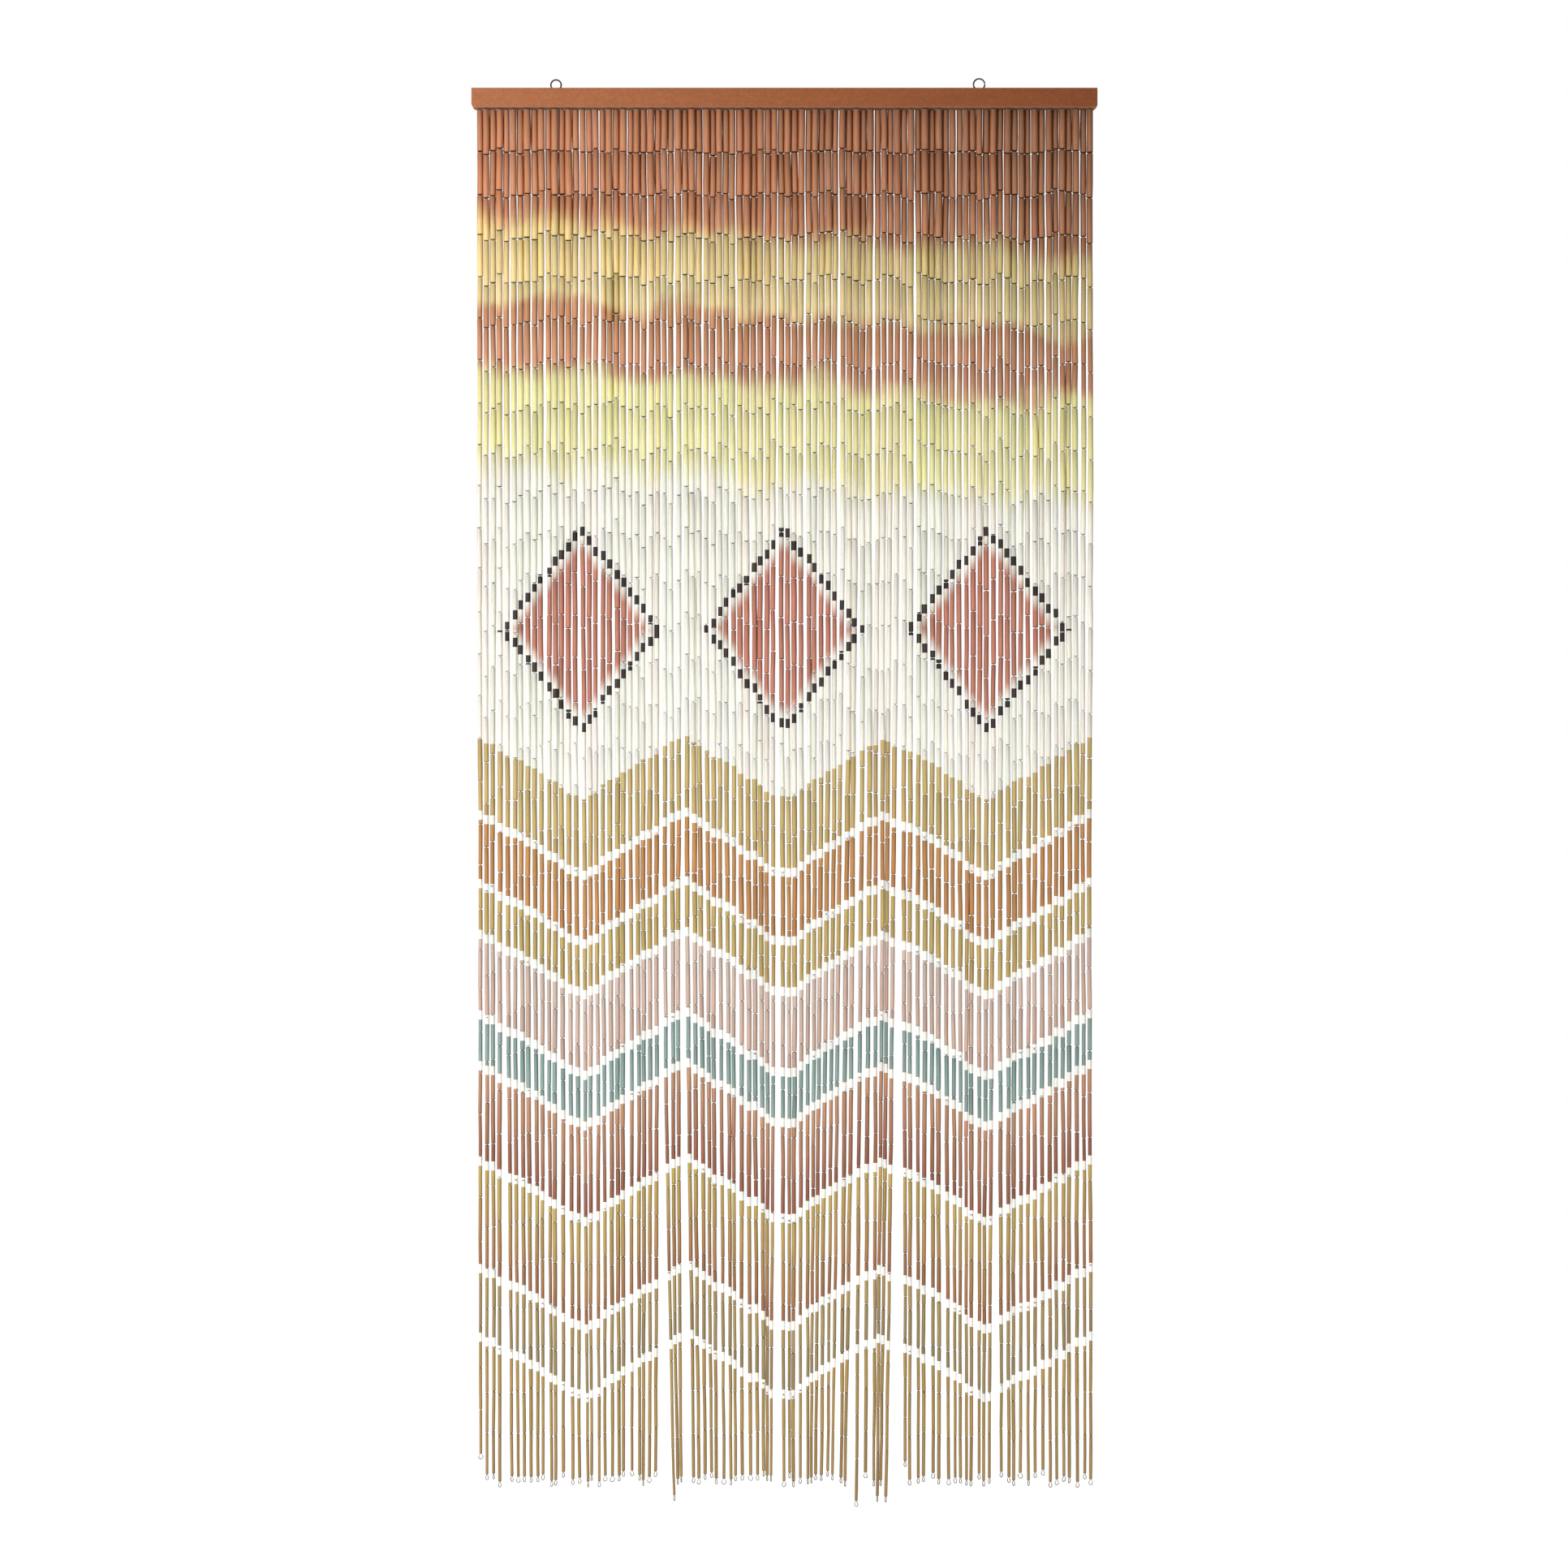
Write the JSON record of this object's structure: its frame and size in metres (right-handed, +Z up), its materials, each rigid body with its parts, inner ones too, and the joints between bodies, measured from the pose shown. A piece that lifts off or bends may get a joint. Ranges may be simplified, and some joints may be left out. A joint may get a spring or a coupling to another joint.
{
  "type": "bamboo bead curtain with header rail",
  "caption": "Doorway curtain of bamboo tube beads strung on wire links, hung side by side under a painted wooden rail with screw eyes, each strand ending in a small wire loop.",
  "frame": {"origin": "middle of the header rail's length and depth, level with the rings of the two screw eyes, 6.5 mm above the rail's top", "axes": "+Z up, +X to the right seen from the front, -Y towards the viewer, so the rail runs along X and the strands hang along -Z"},
  "size_m": [0.9, 0.02, 2.056],
  "materials": {
    "painted_wood": "opaque stain, satin, a little scratched",
    "bamboo": "hand painted, satin",
    "steel_wire": "galvanised wire and plated screw eyes"
  },
  "bodies": {
    "root": {"header_rail": "painted_wood", "bead_strands": "bamboo", "screw_eye_left": "steel_wire", "screw_eye_right": "steel_wire"}
  },
  "joints": []
}
